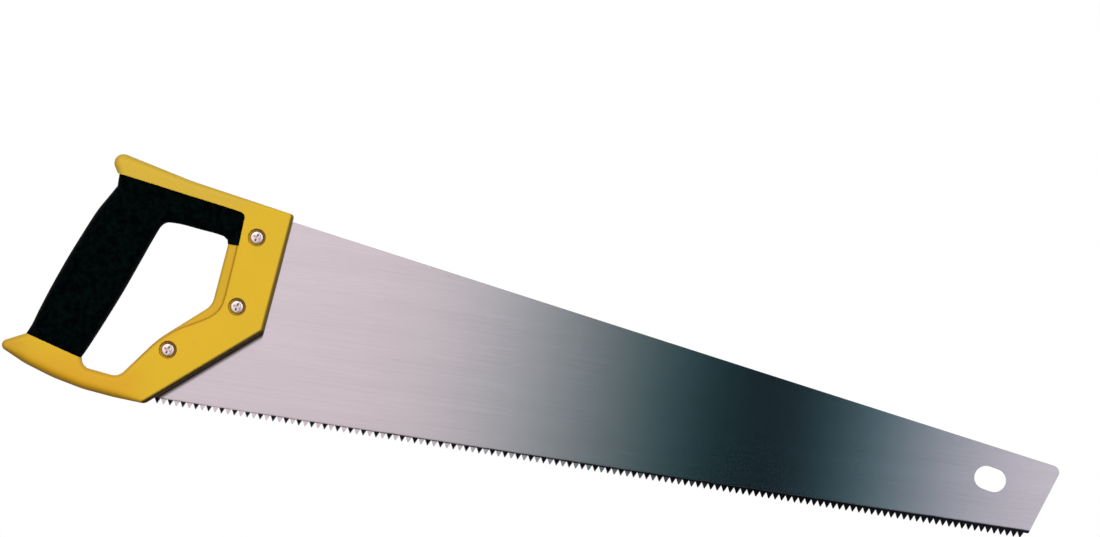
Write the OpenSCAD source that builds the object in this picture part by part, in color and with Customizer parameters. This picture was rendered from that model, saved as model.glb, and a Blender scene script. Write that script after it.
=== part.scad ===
// Panel hand saw: a tapering toothed steel blade held in a closed two-colour handle by three
// cross-recess screws and barrel nuts.
// Outlines are drawn in the blade's own plane: x runs along the tooth line from the front of the
// handle towards the toe, z stands up from the tooth line, and y is the thickness, with the blade's
// mid-plane at y = 0. The finished part is then moved so that its origin is the middle of its length
// and thickness, level with its lowest point.

/* [Blade] */
// Length of the toothed edge in front of the handle
toothed_len = 490.5; // [420:0.5:560]
// Depth of the blade where it leaves the handle
heel_depth = 108.6; // [104:0.1:110]
// Depth of the blade at the toe
toe_depth = 39; // [34:0.5:60]
// How far the toe's front edge leans forward over its height
toe_lean = 13; // [0:0.5:20]
// Thickness of the steel
blade_t = 0.9; // [0.7:0.05:1]
// Teeth in 25.4 mm
teeth_per_inch = 7; // [5:1:12]
// Depth from tooth tip to root
tooth_depth = 3; // [1.5:0.1:3.2]
// Length of the hang slot
hang_len = 18; // [14:0.5:22]
// Width of the hang slot
hang_w = 13; // [6:0.5:13.5]

/* [Handle] */
// Thickness of the handle's flat plate
plate_t = 21; // [19:0.5:24]
// Greatest thickness of the soft grip
grip_t = 28; // [26:0.5:32]
// Thickness of the hard web inside the grip
web_t = 12; // [8:0.5:14]
// Diameter of the holes that key the grip to the web
key_d = 7; // [4:0.5:8]

/* [Fasteners] */
// Diameter of the screw thread
thread_d = 4; // [3:0.5:4]
// Outer diameter of the barrel nut
barrel_d = 5.4; // [5:0.1:5.8]
// Diameter of the domed heads
head_d = 7.4; // [6.6:0.1:8]
// Height of the domed heads
head_h = 2.2; // [1.9:0.1:2.6]
// Diameter of the round recesses for the heads
recess_d = 9.8; // [8.6:0.1:10.4]
// Depth of the recess on the screw side
screw_recess = 2.8; // [2.7:0.1:3.4]
// Depth of the recess on the nut side
nut_recess = 3.3; // [2.6:0.1:3.6]

/* [Hidden] */
$fn = 48;

inch = 25.4;
pitch = inch / teeth_per_inch;
tooth_root = 0.3;
tooth_tip = tooth_root - tooth_depth;
first_tooth = -2;
tooth_count = floor((toothed_len - first_tooth) / pitch);
tip_flat = 0.5;
root_flat = 0.15;
heel_x = 59;
toe_radius = 4;
hang_at = [toothed_len - 25.7, 27];
hang_tilt = -11;
slot_gap = 0.05;
tang_gap = 0.3;
thread_pitch = 0.7;
thread_height = 0.35;
thread_start = 0.4;
thread_tip = 0.6;
thread_gap = 0.05;
shank_reach = 4;
barrel_end_gap = 1;
bore_d = barrel_d + 0.1;
blade_hole_d = barrel_d + 0.2;
cross_len = 4.4;
cross_w = 1;
cross_depth = 1.7;
head_rim_share = 0.4;
kerf_front_x = 80;
// How far a cutter runs past the surface that it opens
overrun = 1;

// Centres of the three fasteners
fastener_at = [[40.8, 97], [35.8, 57.2], [1.5, 27.7]];

// Hidden part of the blade inside the handle, from the bottom of the front edge round to the top
tang_front_low = [-3, tooth_root];
tang = [[34.4, 0], [33, 90], [28.6, 62], [26.5, 54.5], [12.1, 44.3], [2.3, 35.1],
        [-7.6, 22.2], [-11, 14], [-9, 4.2]];

// Points below and in front of the handle, between which the kerf is open
kerf_front = [[20, -3.7], [kerf_front_x, 40], [kerf_front_x, 130]];

// Outside of the handle: x, z, corner radius, and the radius that rounds the edge into the side face
handle_corners = [
    [-94.3, 16.7, 3.1, 3], [-76.5, 8.2, 40, 5.5], [-60, 2.8, 60, 6], [-42, -1.1, 60, 5.5],
    [-24, -3, 60, 5], [-6.7, -3.87, 4, 2.5],
    [52.3, 45.2, 3, 1.4], [59.4, 112.6, 2.2, 1.4], [0, 122.6, 90, 3.5], [-49.6, 134.2, 5, 4.6],
    [-40.4, 119.3, 0, 4], [-76, 25.66, 0, 4]];

// Hand opening: the same four values, the last one for the edge that opens out to the side face
loop_corners = [
    [-47.7, 11.4, 5.5, 3.4], [-23.6, 8.5, 8, 3.2], [-5, 32.6, 60, 1.6], [22, 55.9, 10, 3.4],
    [26, 95, 5, 5], [-3, 98, 30, 5], [-12, 97.8, 6, 5]];

// Points that see the whole of each outline, from which its end faces fan out
handle_hub = [10, 50];
loop_hub = [-10, 60];

// Stations across the grip, from its lower end up the rear post and forward under the top bar: outer
// x and z, inner x and z, the outer and inner edge radii, and the share of the full swell there
post_stations = [
    [-77.8, 24.8, -45.84, 15.9, 6, 5, 0], [-75.4, 30.4, -43.26, 21, 8, 7, 0.35],
    [-72.6, 39.4, -40, 28.1, 9, 8, 0.7], [-67.8, 53.4, -34.8, 40, 9, 8, 0.94],
    [-61.5, 70, -28.3, 55.5, 9, 8, 1], [-55.5, 84.3, -22.7, 70.1, 9, 8, 0.97],
    [-49.5, 97.8, -17.4, 84.2, 9, 8, 0.8], [-44.5, 106.4, -14.5, 91.6, 8, 7, 0.58],
    [-40.3, 113.5, -13.3, 94.4, 7, 6.5, 0.36]];
bar_stations = [
    [-40.2, 120.4, -12, 96.1, 4, 6, 0.2], [-32, 119.2, -10.3, 97.3, 0.5, 6, 0.1],
    [-20, 117.4, -8, 97.8, 0.4, 6, 0.04], [-6, 115.2, -1, 97.75, 0.4, 6, 0], [6, 113.4, 9, 96.6, 0.4, 6, 0],
    [18, 111.6, 17, 95.8, 0.4, 6, 0], [25, 110.5, 22.4, 94.9, 0.4, 5.5, 0],
    [30.2, 109.6, 24.8, 93.2, 0.4, 5.2, 0], [31.7, 108.6, 25.3, 91, 0.4, 5, 0],
    [32.1, 107.9, 26.4, 91, 0.4, 1.4, 0], [32.3, 107.4, 28.2, 91, 0.4, 0.5, 0],
    [32.4, 107, 31.5, 91, 0.4, 0.4, 0]];
grip_crown = 0.6;

// Shape cut out of the hard body for the grip: its lower seam, points inside the hand opening, the
// grip's front end, and points outside the handle
seam_low = [[-84, 26.53], [-42, 14.83]];
clear_inside = [[-36, 30], [-12, 88], [0, 93]];
grip_front = [[20, 91], [31.5, 91]];
clear_outside = [[-50, 121.83], [-90, 60]];
round_steps = 5;
crown_steps = 3;

// Hard web inside the grip, and the line of keying holes through it: start, end and number
web_outline = [[-48, 12], [-72, 17], [-66.2, 48], [-54.3, 76], [-46, 96], [-36, 111], [-36, 123],
               [36, 112], [36, 99.5], [20, 99.5], [-8, 102], [-16, 98], [-24.5, 77], [-35.5, 50]];
key_rows = [[[-58, 33], [-34, 92], 5], [[-12, 109.5], [18, 105.5], 3]];

function unit(v) = v / norm(v);

// Arc that rounds the corner at b between a and c, as points
function corner_arc(a, b, c, r, steps = 6) =
    let (u = unit(a - b), v = unit(c - b), half = acos(u * v) / 2)
    let (centre = b + unit(u + v) * r / sin(half))
    let (from = b + u * r / tan(half) - centre, to = b + v * r / tan(half) - centre)
    let (start = atan2(from.y, from.x), turn = (atan2(to.y, to.x) - start + 540) % 360 - 180)
    [for (i = [0:steps]) centre + r * [cos(start + turn * i / steps), sin(start + turn * i / steps)]];

function plan(p) = [p.x, p.y];

// Closed outline from corners of x, z, radius and edge radius; each point keeps its edge radius
function rounded(corners) =
    let (n = len(corners))
    [for (i = [0:n - 1])
        let (b = corners[i], a = corners[(i + n - 1) % n], c = corners[(i + 1) % n])
        each b[2] == 0
            ? [[b.x, b.y, b[3]]]
            : [for (p = corner_arc(plan(a), plan(b), plan(c), b[2])) [p.x, p.y, b[3]]]];

function outward(pts, i) =
    let (n = len(pts), along = plan(pts[(i + 1) % n]) - plan(pts[(i + n - 1) % n]))
    unit([along.y, -along.x]);

// One ring of an outline: each point moved outwards by its edge radius times out, at depth y
function ring(pts, out, y, rise) =
    [for (i = [0:len(pts) - 1])
        let (p = pts[i], q = plan(p) + outward(pts, i) * p[2] * out)
        [q.x, y + p[2] * rise, q.y]];

// Adds a station halfway between each pair, on a smooth curve through the four nearest ones
function smoothed(rows) =
    let (last = len(rows) - 1)
    [for (i = [0:last])
        let (a = rows[max(i - 1, 0)], b = rows[i], c = rows[min(i + 1, last)], d = rows[min(i + 2, last)])
        each i == last ? [b] : [b, (9 * (b + c) - a - d) / 16]];

handle_outline = rounded(handle_corners);
loop_outline = rounded(loop_corners);
grip_stations = concat(smoothed(post_stations), bar_stations);

function back_z(x) = heel_depth - (x - heel_x) * (heel_depth - toe_depth) / (toothed_len + toe_lean - heel_x);

toe_low = [toothed_len, tooth_root];
toe_top = [toothed_len + toe_lean, toe_depth];
tooth_row = [for (i = [0:tooth_count - 1])
    let (x = first_tooth + i * pitch)
    each [[x + root_flat / 2, tooth_root], [x + (pitch - tip_flat) / 2, tooth_tip],
          [x + (pitch + tip_flat) / 2, tooth_tip], [x + pitch - root_flat / 2, tooth_root]]];
heel_top = [heel_x, heel_depth];
tang_points = [for (p = tang) p.y == 0 ? [p.x, back_z(p.x)] : p];
blade_outline = concat([tang_front_low], tooth_row, [toe_low],
                       corner_arc(toe_low, toe_top, heel_top, toe_radius), tang_points);

part_min_x = min([for (p = handle_outline) p.x]);
part_max_x = max([for (p = blade_outline) p.x]);
part_min_z = min(tooth_tip, min([for (p = handle_outline) p.y]));
screw_seat = plate_t / 2 - screw_recess;
nut_seat = plate_t / 2 - nut_recess;

// Moves a shape from the blade's own plane to the part's origin
module placed() {
    translate([-(part_min_x + part_max_x) / 2, 0, -part_min_z]) children();
}

// Solid between rings of equal length, stacked in y, with end faces that fan out from the hub
module ring_stack(rings, hub) {
    n = len(rings[0]);
    last = len(rings) - 1;
    first_hub = n * len(rings);
    hubs = [for (r = [rings[0], rings[last]]) [hub.x, r[0].y, hub.y]];
    sides = [for (j = [0:last - 1], i = [0:n - 1])
        let (a = j * n + i, b = j * n + (i + 1) % n)
        each [[a, b, b + n], [a, b + n, a + n]]];
    ends = [for (i = [0:n - 1])
        let (next = (i + 1) % n)
        each [[first_hub, next, i], [first_hub + 1, last * n + i, last * n + next]]];
    polyhedron(concat([for (r = rings) each r], hubs), concat(sides, ends), convexity = 8);
}

// Upright prism of a flat outline, centred on the blade's plane
module slab(points, thick) {
    rotate([90, 0, 0]) linear_extrude(thick, center = true, convexity = 8) polygon(points);
}

// Turns a shape built along +z so that it points to the side given, -1 or 1 in y
module towards(at, side) {
    translate([at.x, 0, at.y]) rotate([-90 * side, 0, 0]) children();
}

module hang_slot() {
    half = (hang_len - hang_w) / 2;
    ends = concat([for (a = [-90:15:90]) [half + hang_w / 2 * cos(a), hang_w / 2 * sin(a)]],
                  [for (a = [90:15:270]) [-half + hang_w / 2 * cos(a), hang_w / 2 * sin(a)]]);
    translate([hang_at.x, 0, hang_at.y]) rotate([0, -hang_tilt, 0]) slab(ends, 4 * blade_t);
}

module blade() color("silver") placed() {
    difference() {
        slab(blade_outline, blade_t);
        hang_slot();
        for (at = fastener_at) towards(at, 1) cylinder(d = blade_hole_d, h = 4 * blade_t, center = true);
    }
}

// Kerf that holds the tang: wider than the tang by a small gap and open along the front of the handle
module kerf() {
    gap = [for (p = tang_points) p + [-tang_gap, p == tang_points[0] ? tang_gap : 0]];
    mouth = concat([tang_front_low], kerf_front, [[kerf_front_x, back_z(kerf_front_x) + tang_gap]]);
    slab(concat(mouth, gap), blade_t + 2 * slot_gap);
}

module handle_plate() {
    half = plate_t / 2;
    angles = [for (k = [0:round_steps - 1]) 90 * k / (round_steps - 1)];
    back = [for (k = [round_steps - 1:-1:0])
        ring(handle_outline, cos(angles[k]) - 1, -half, 1 - sin(angles[k]))];
    front = [for (a = angles) ring(handle_outline, cos(a) - 1, half, sin(a) - 1)];
    ring_stack(concat(back, front), handle_hub);
}

// Cutter for the hand opening, which flares out to each side face
module hand_opening() {
    half = plate_t / 2;
    angles = [for (k = [0:round_steps - 1]) 90 * k / (round_steps - 1)];
    back = [for (k = [round_steps - 1:-1:0])
        ring(loop_outline, 1 - cos(angles[k]), -half, 1 - sin(angles[k]))];
    front = [for (a = angles) ring(loop_outline, 1 - cos(a), half, sin(a) - 1)];
    below = ring(loop_outline, 1, -half - overrun, 0);
    above = ring(loop_outline, 1, half + overrun, 0);
    ring_stack(concat([below], back, front, [above]), loop_hub);
}

// Everything that the grip takes up in side view, running clear of the handle where the grip is free
module grip_zone() {
    seam = [for (s = [len(bar_stations) - 1:-1:0]) plan(bar_stations[s])];
    slab(concat(seam_low, clear_inside, grip_front, seam, clear_outside), grip_t + 2 * overrun);
}

module web() {
    difference() {
        slab(web_outline, web_t);
        for (row = key_rows, i = [0:row[2] - 1])
            towards(row[0] + (row[1] - row[0]) * i / (row[2] - 1), 1)
                cylinder(d = key_d, h = web_t + 2 * overrun, center = true);
    }
}

module handle() color("gold") placed() {
    difference() {
        union() {
            difference() {
                handle_plate();
                hand_opening();
                grip_zone();
            }
            web();
        }
        kerf();
        for (at = fastener_at) {
            towards(at, 1) cylinder(d = bore_d, h = plate_t, center = true);
            towards(at, 1) translate([0, 0, nut_seat]) cylinder(d = recess_d, h = plate_t);
            towards(at, -1) translate([0, 0, screw_seat]) cylinder(d = recess_d, h = plate_t);
        }
    }
}

// Points across one station of the grip: plan position and half thickness
function grip_row(s) =
    let (outer = plan(s), inner = [s[2], s[3]], r_out = s[4], r_in = s[5], swell = s[6])
    let (span = norm(inner - outer), dir = (inner - outer) / span, free = span - r_out - r_in)
    let (half = (plate_t + swell * (grip_t - 2 * grip_crown - plate_t)) / 2)
    let (angles = [for (k = [0:round_steps]) 90 * k / round_steps])
    concat(
        [for (a = angles) [outer + dir * r_out * (1 - cos(a)), half - r_out * (1 - sin(a))]],
        [for (k = [1:crown_steps])
            let (u = k / (crown_steps + 1))
            [outer + dir * (r_out + free * u), half + swell * grip_crown * 4 * u * (1 - u)]],
        [for (k = [round_steps:-1:0])
            let (a = angles[k])
            [inner - dir * r_in * (1 - cos(a)), half - r_in * (1 - sin(a))]]);

// Outer form of the grip: two skins over the stations, mirrored about the blade's plane
module grip_form() {
    rows = [for (s = grip_stations) grip_row(s)];
    m = len(rows[0]);
    n = len(rows);
    count = m * n;
    points = [for (side = [-1, 1], row = rows, p = row) [p[0].x, side * p[1], p[0].y]];
    skins = [for (j = [0:n - 2], i = [0:m - 2])
        let (a = j * m + i, b = a + m, c = b + 1, d = a + 1)
        each [[a, b, c], [a, c, d], [a + count, c + count, b + count], [a + count, d + count, c + count]]];
    rim = concat([for (i = [0:m - 1]) i], [for (j = [1:n - 1]) j * m + m - 1],
                 [for (i = [m - 2:-1:0]) (n - 1) * m + i], [for (j = [n - 2:-1:1]) j * m]);
    walls = [for (i = [0:len(rim) - 1])
        let (a = rim[i], b = rim[(i + 1) % len(rim)])
        each [[a, b, b + count], [a, b + count, a + count]]];
    polyhedron(points, concat(skins, walls), convexity = 8);
}

module grip() color("#1c1f20") placed() {
    difference() {
        grip_form();
        web();
    }
}

// Cross-shaped driver recess, cut down from the top of a head
module cross_recess(top) {
    for (turn = [0, 90]) rotate(turn) translate([0, 0, top + (overrun - cross_depth) / 2])
        cube([cross_len, cross_w, cross_depth + overrun], center = true);
}

// Domed head with its flat underside at z = 0
module domed_head() {
    rim = head_h * head_rim_share;
    profile = concat([[0, 0], [head_d / 2, 0]],
                     [for (a = [0:10:90]) [head_d / 2 * cos(a), rim + (head_h - rim) * sin(a)]]);
    difference() {
        rotate_extrude() polygon(profile);
        cross_recess(head_h);
    }
}

module screw(at) color("gainsboro") placed() towards(at, -1) {
    turns = floor((shank_reach + screw_seat - thread_pitch) / thread_pitch);
    r = thread_d / 2;
    core = r - thread_height;
    start = thread_start - shank_reach;
    thread = [for (i = [0:turns - 1])
        let (z = start + i * thread_pitch)
        each [[core, z], [r, z + thread_pitch / 2]]];
    profile = concat([[0, -shank_reach], [r - thread_tip, -shank_reach]], thread,
                     [[core, start + turns * thread_pitch], [core, screw_seat], [0, screw_seat]]);
    union() {
        rotate_extrude() polygon(profile);
        translate([0, 0, screw_seat]) domed_head();
    }
}

module barrel_nut(at) color("gainsboro") placed() towards(at, 1) {
    foot = screw_seat - barrel_end_gap;
    difference() {
        union() {
            translate([0, 0, -foot]) cylinder(d = barrel_d, h = foot + nut_seat);
            translate([0, 0, nut_seat]) domed_head();
        }
        translate([0, 0, -foot - overrun])
            cylinder(d = thread_d + 2 * thread_gap, h = foot + shank_reach + 2 * overrun);
    }
}

blade();
handle();
grip();
screw(fastener_at[0]);  // screw_top
screw(fastener_at[1]);  // screw_middle
screw(fastener_at[2]);  // screw_bottom
barrel_nut(fastener_at[0]);  // barrel_nut_top
barrel_nut(fastener_at[1]);  // barrel_nut_middle
barrel_nut(fastener_at[2]);  // barrel_nut_bottom
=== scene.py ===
import math
from functools import partial

import bmesh
import bpy
import numpy as np
from mathutils import Matrix, Vector
from mathutils.geometry import delaunay_2d_cdt


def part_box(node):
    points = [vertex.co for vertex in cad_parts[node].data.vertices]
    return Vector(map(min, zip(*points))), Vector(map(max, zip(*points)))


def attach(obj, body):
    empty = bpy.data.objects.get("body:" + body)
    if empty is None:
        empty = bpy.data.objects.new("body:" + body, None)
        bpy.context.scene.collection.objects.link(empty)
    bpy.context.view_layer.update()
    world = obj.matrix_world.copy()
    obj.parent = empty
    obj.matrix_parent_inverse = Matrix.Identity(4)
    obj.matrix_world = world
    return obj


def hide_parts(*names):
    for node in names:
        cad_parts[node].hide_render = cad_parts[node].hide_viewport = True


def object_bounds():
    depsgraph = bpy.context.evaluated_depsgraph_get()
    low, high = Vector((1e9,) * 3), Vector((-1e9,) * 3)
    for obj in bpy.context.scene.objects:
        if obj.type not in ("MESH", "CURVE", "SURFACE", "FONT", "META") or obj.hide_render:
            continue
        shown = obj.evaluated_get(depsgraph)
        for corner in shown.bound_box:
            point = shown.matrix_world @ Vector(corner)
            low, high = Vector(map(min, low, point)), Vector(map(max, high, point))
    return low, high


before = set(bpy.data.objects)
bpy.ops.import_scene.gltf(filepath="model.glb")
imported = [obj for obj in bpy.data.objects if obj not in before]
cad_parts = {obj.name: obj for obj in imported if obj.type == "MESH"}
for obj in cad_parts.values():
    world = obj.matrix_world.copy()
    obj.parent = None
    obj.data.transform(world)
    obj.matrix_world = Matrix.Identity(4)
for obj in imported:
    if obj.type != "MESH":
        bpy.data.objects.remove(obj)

cad_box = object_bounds()

# ---------------------------------------------------------------- sizes, in mm, in the blade's own plane
# x runs along the tooth line towards the toe, z stands up from it, y is the thickness (screw side -y).
PLATE = 10.5          # half thickness of the handle's plate
SWELL = 3.5           # how much further the grip stands out at its fullest, crown included
CROWN = 0.6
BLADE = 0.45          # half thickness of the steel
LIP = 0.5             # half width of the slot that the blade sits in
FASTENERS = {"top": (40.8, 97.0), "middle": (35.8, 57.2), "bottom": (1.5, 27.7)}
RECESS_R, BORE_R = 4.9, 2.75
SCREW_SEAT, NUT_SEAT = 7.7, 7.2
HEAD_R, HEAD_H = 3.7, 2.2
RIM = 0.35            # softened edge round a counterbore
BORE_SIDES, HOLE_SIDES, HEAD_SIDES = 48, 32, 56

# Outside of the handle and the hand opening: x, z, corner radius, edge radius
HANDLE = [
    (-94.3, 16.7, 3.1, 3), (-76.5, 8.2, 40, 5.5), (-60, 2.8, 60, 6), (-42, -1.1, 60, 5.5), (-24, -3, 60, 5),
    (-6.7, -3.87, 4, 2.5),
    (52.3, 45.2, 3, 1.4), (59.4, 112.6, 2.2, 1.4), (0, 122.6, 90, 3.5), (-49.6, 134.2, 5, 4.6),
    (-40.4, 119.3, 0, 4), (-76, 25.66, 0, 4)]
LOOP = [
    (-47.7, 11.4, 5.5, 3.4), (-23.6, 8.5, 8, 3.2), (-5, 32.6, 60, 1.6), (22, 55.9, 10, 2.2),
    (26, 95, 5, 2.2), (-3, 98, 30, 5), (-12, 97.8, 6, 5)]
# Stepped band along the front side of the opening: x, z on the opening's edge, width
BAND = [(25.6, 91.2, 5.3), (24.7, 82, 5.5), (22.6, 61, 5.6), (20.8, 55.6, 5.3), (17.3, 51.9, 4.8),
        (11.5, 46.9, 3.3), (5.5, 41.7, 1.7), (0, 36.9, 1.2), (-6, 31.2, 1), (-13, 22.3, 0.8), (-19, 14.5, 0.2)]
BAND_DEPTH = 1.2
BAND_BLEND = 0.35                 # half the width over which its step falls
BAND_FROM, BAND_FULL = 1, 2.5     # widths at which the step begins and has its whole depth
SEAM_EDGE = 0.4                   # edge radius of the hard plastic along the grip

# Sections across the grip: outer x, z, inner x, z, outer and inner edge radius, share of the swell
POST = [
    (-77.8, 24.8, -45.84, 15.9, 4, 3.4, 0), (-75.4, 30.4, -43.26, 21, 8, 7, 0.35),
    (-72.6, 39.4, -40, 28.1, 9, 8, 0.7), (-67.8, 53.4, -34.8, 40, 9, 8, 0.94),
    (-61.5, 70, -28.3, 55.5, 9, 8, 1), (-55.5, 84.3, -22.7, 70.1, 9, 8, 0.97),
    (-49.5, 97.8, -17.4, 84.2, 9, 8, 0.8), (-44.5, 106.4, -14.5, 91.6, 8, 7, 0.58),
    (-40.3, 113.5, -13.3, 94.4, 7, 6.5, 0.36)]
BAR = [
    (-40.2, 120.4, -12, 96.1, 4, 6, 0.2), (-32, 119.2, -10.3, 97.3, 1.6, 6, 0.1),
    (-20, 117.4, -8, 97.8, 1.5, 6, 0.04), (-6, 115.2, -1, 97.75, 1.5, 6, 0), (6, 113.4, 9, 96.6, 1.5, 6, 0),
    (18, 111.6, 17, 95.8, 1.5, 6, 0), (25, 110.5, 22.4, 94.9, 1.5, 5.5, 0),
    (30.2, 109.6, 24.8, 93.2, 1.3, 5.2, 0), (31.7, 108.6, 25.3, 91, 1, 5, 0),
    (32.1, 107.9, 26.4, 91, 0.8, 1.4, 0), (32.3, 107.4, 28.2, 91, 0.6, 0.6, 0),
    (32.4, 107, 31.5, 91, 0.5, 0.5, 0)]
SEAM_TOP = [(s[0], s[1]) for s in BAR]
GRIP_FRONT = [(31.5, 91), (20, 91)]
# Lines across the outlines: where the grip begins and ends on the outside and in the hand opening, and where
# the blade's slot begins and ends
GRIP_ENDS_OUT = [((-84, 26.53), (-74, 23.75)), ((-50, 121.83), (-40.2, 120.4))]
GRIP_ENDS_IN = [((-50, 17.06), (-42, 14.83)), ((20, 91), (31.5, 91))]
SLOT_ENDS = [((-12, 0.05), (2, 0.05)), ((50, 108.8), (70, 108.8))]

# Blade
TOOTHED, HEEL_X, HEEL_Z, TOE_Z, TOE_LEAN, TOE_R = 490.5, 59, 108.6, 39, 13, 4
PITCH, ROOT, TIP, FIRST = 25.4 / 7, 0.3, -2.7, -2
TIP_FLAT, ROOT_FLAT = 0.5, 0.15
TOOTH_SET, TOOTH_BEVEL, CHAMFER = 0.24, 0.36, 0.12
# The first point of the tang lies on the blade's back, so its z is worked out
TANG = [(34.4, 0), (33, 90), (28.6, 62), (26.5, 54.5), (12.1, 44.3), (2.3, 35.1), (-7.6, 22.2), (-11, 14),
        (-9, 4.2)]
TANG_LOW = (-3, ROOT)
TANG_HOLE_R = 2.8
HANG = (464.8, 27.0, 18.0, 13.0, -11.0)    # centre x, z, length, width, tilt in degrees
HANG_STEPS = 16                            # sides of each round end

CAMERA_ROLL = math.radians(8.85)
CAMERA_AIM = (204.6, 105.1)       # x, z of the blade's plane at the middle of the picture
CAMERA_AWAY, FRAME_WIDTH = 9.0, 0.6125    # in metres


# ---------------------------------------------------------------- plan geometry
def corner_arc(a, b, c, r, step):
    """Points of the arc that rounds the corner at b between a and c."""
    a, b, c = (np.array(p, float) for p in (a, b, c))
    u, v = (a - b) / np.linalg.norm(a - b), (c - b) / np.linalg.norm(c - b)
    half = math.acos(float(u @ v)) / 2
    centre = b + (u + v) / np.linalg.norm(u + v) * r / math.sin(half)
    start, end = b + u * r / math.tan(half) - centre, b + v * r / math.tan(half) - centre
    a0 = math.atan2(start[1], start[0])
    turn = (math.atan2(end[1], end[0]) - a0 + 3 * math.pi) % (2 * math.pi) - math.pi
    n = max(5, math.ceil(abs(turn) * r / step))
    return [tuple(centre + r * np.array([math.cos(a0 + turn * i / n), math.sin(a0 + turn * i / n)]))
            for i in range(n + 1)]


def densify(points, step, closed=True):
    """Adds points so that no side is longer than step; every value of a point is carried along."""
    out = []
    for i in range(len(points) if closed else len(points) - 1):
        a, b = np.array(points[i], float), np.array(points[(i + 1) % len(points)], float)
        n = max(1, math.ceil(np.linalg.norm(b[:2] - a[:2]) / step))
        out += [tuple(a + (b - a) * k / n) for k in range(n)]
    return out if closed else out + [tuple(float(x) for x in points[-1])]


def rounded(corners, step=0.9):
    """Closed outline of x, z, edge radius."""
    out = []
    for i, b in enumerate(corners):
        a, c = corners[i - 1], corners[(i + 1) % len(corners)]
        arc = [b[:2]] if b[2] == 0 else corner_arc(a[:2], b[:2], c[:2], b[2], step)
        out += [(p[0], p[1], b[3]) for p in arc]
    return densify(out, 2.0)


def cut(outline, p, q):
    """(index of the side, point) where a closed outline crosses the line from p to q."""
    p, q = np.array(p, float), np.array(q, float)
    for i in range(len(outline)):
        a, b = np.array(outline[i]), np.array(outline[(i + 1) % len(outline)])
        m = np.array([b[:2] - a[:2], p - q]).T
        if abs(np.linalg.det(m)) < 1e-9:
            continue
        s, t = np.linalg.solve(m, p - a[:2])
        if -1e-9 <= s < 1 and 0 <= t <= 1:
            return i, tuple(a + (b - a) * s)
    raise ValueError("the lines don't cross")


def between(outline, first, last):
    """Points of a closed outline from one cut to another, in its own direction."""
    (i, p), (j, q) = first, last
    n = len(outline)
    return [p] + [outline[k % n] for k in range(i + 1, (j if j > i else j + n) + 1)] + [q]


def nearest(points, line):
    """Distance from each point to a polyline, and the polyline's third value there."""
    line = np.array(line, float)
    a, b = line[:-1], line[1:]
    ab = b - a
    length = np.maximum((ab[:, :2] ** 2).sum(1), 1e-12)
    best, value = np.full(len(points), 1e9), np.zeros(len(points))
    for k in range(len(a)):
        rel = points - a[k, :2]
        t = np.clip(rel @ ab[k, :2] / length[k], 0, 1)
        d = np.linalg.norm(rel - t[:, None] * ab[k, :2], axis=1)
        better = d < best
        best[better] = d[better]
        value[better] = (a[k, 2] + t * ab[k, 2])[better]
    return best, value


def drop(distance, radius):
    """How far a rounded edge has fallen below the face, at a distance from the outline."""
    inside = np.clip(radius - distance, 0, None)
    return radius - np.sqrt(np.maximum(radius ** 2 - inside ** 2, 0))


def step_down(distance, width):
    """How far the stepped band lies below the face, at a distance from the opening's edge."""
    t = np.clip((width + BAND_BLEND - distance) / (2 * BAND_BLEND), 0, 1)
    share = np.clip((width - BAND_FROM) / (BAND_FULL - BAND_FROM), 0, 1)
    return BAND_DEPTH * share * t * t * (3 - 2 * t)


def within(points, loop):
    """True for each point inside a closed polygon."""
    x, y = points[:, 0], points[:, 1]
    inside = np.zeros(len(points), bool)
    loop = np.array([p[:2] for p in loop], float)
    for (x0, y0), (x1, y1) in zip(loop, np.roll(loop, -1, 0)):
        if y0 != y1:
            crosses = (y0 > y) != (y1 > y)
            inside ^= crosses & (x < (x1 - x0) * (y - y0) / (y1 - y0) + x0)
    return inside


def normals(line, closed=True):
    """Unit normal to the left of each point of a polyline."""
    p = np.array([q[:2] for q in line], float)
    if closed:
        along = np.roll(p, -1, 0) - np.roll(p, 1, 0)
    else:
        along = np.gradient(p, axis=0)
    along /= np.maximum(np.linalg.norm(along, axis=1)[:, None], 1e-9)
    return np.stack([-along[:, 1], along[:, 0]], 1)


def smooth_rows(rows, parts):
    """More sections on a smooth curve through the given ones."""
    rows = np.array(rows, float)
    out = []
    for i in range(len(rows) - 1):
        a, b, c, d = (rows[min(max(k, 0), len(rows) - 1)] for k in (i - 1, i, i + 1, i + 2))
        for t in np.arange(parts) / parts:
            out.append(0.5 * (2 * b + (c - a) * t + (2 * a - 5 * b + 4 * c - d) * t * t
                              + (3 * b - a - 3 * c + d) * t ** 3))
    return out + [rows[-1]]


def triangulate(loops, extra=(), inner_edges=()):
    """Plan points and triangles inside the first loop and outside the others.

    The loops' own points come first and keep their order."""
    points, edges = [], []
    for loop in loops:
        n = len(points)
        points += [Vector(p[:2]) for p in loop]
        edges += [(n + i, n + (i + 1) % len(loop)) for i in range(len(loop))]
    fixed = len(points)
    points += [Vector(p[:2]) for p in extra]
    out, _, faces, source, _, _ = delaunay_2d_cdt(points, edges + list(inner_edges), [], 0, 1e-5)
    place = {}
    for i, names in enumerate(source):
        for s in names:
            place[s] = i
    order = [place[i] for i in range(fixed)]
    rest = [i for i in range(len(out)) if i not in set(order)]
    new = {old: k for k, old in enumerate(order + rest)}
    flat = np.array([tuple(out[i]) for i in order + rest])
    tris = np.array([[new[v] for v in f] for f in faces])
    middle = flat[tris].mean(1)
    keep = within(middle, loops[0])
    for hole in loops[1:]:
        keep &= ~within(middle, hole)
    return flat, tris[keep]


def circle(centre, r, n):
    turns = [2 * math.pi * k / n for k in range(n)]
    return [(centre[0] + r * math.cos(a), centre[1] + r * math.sin(a)) for a in turns]


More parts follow.
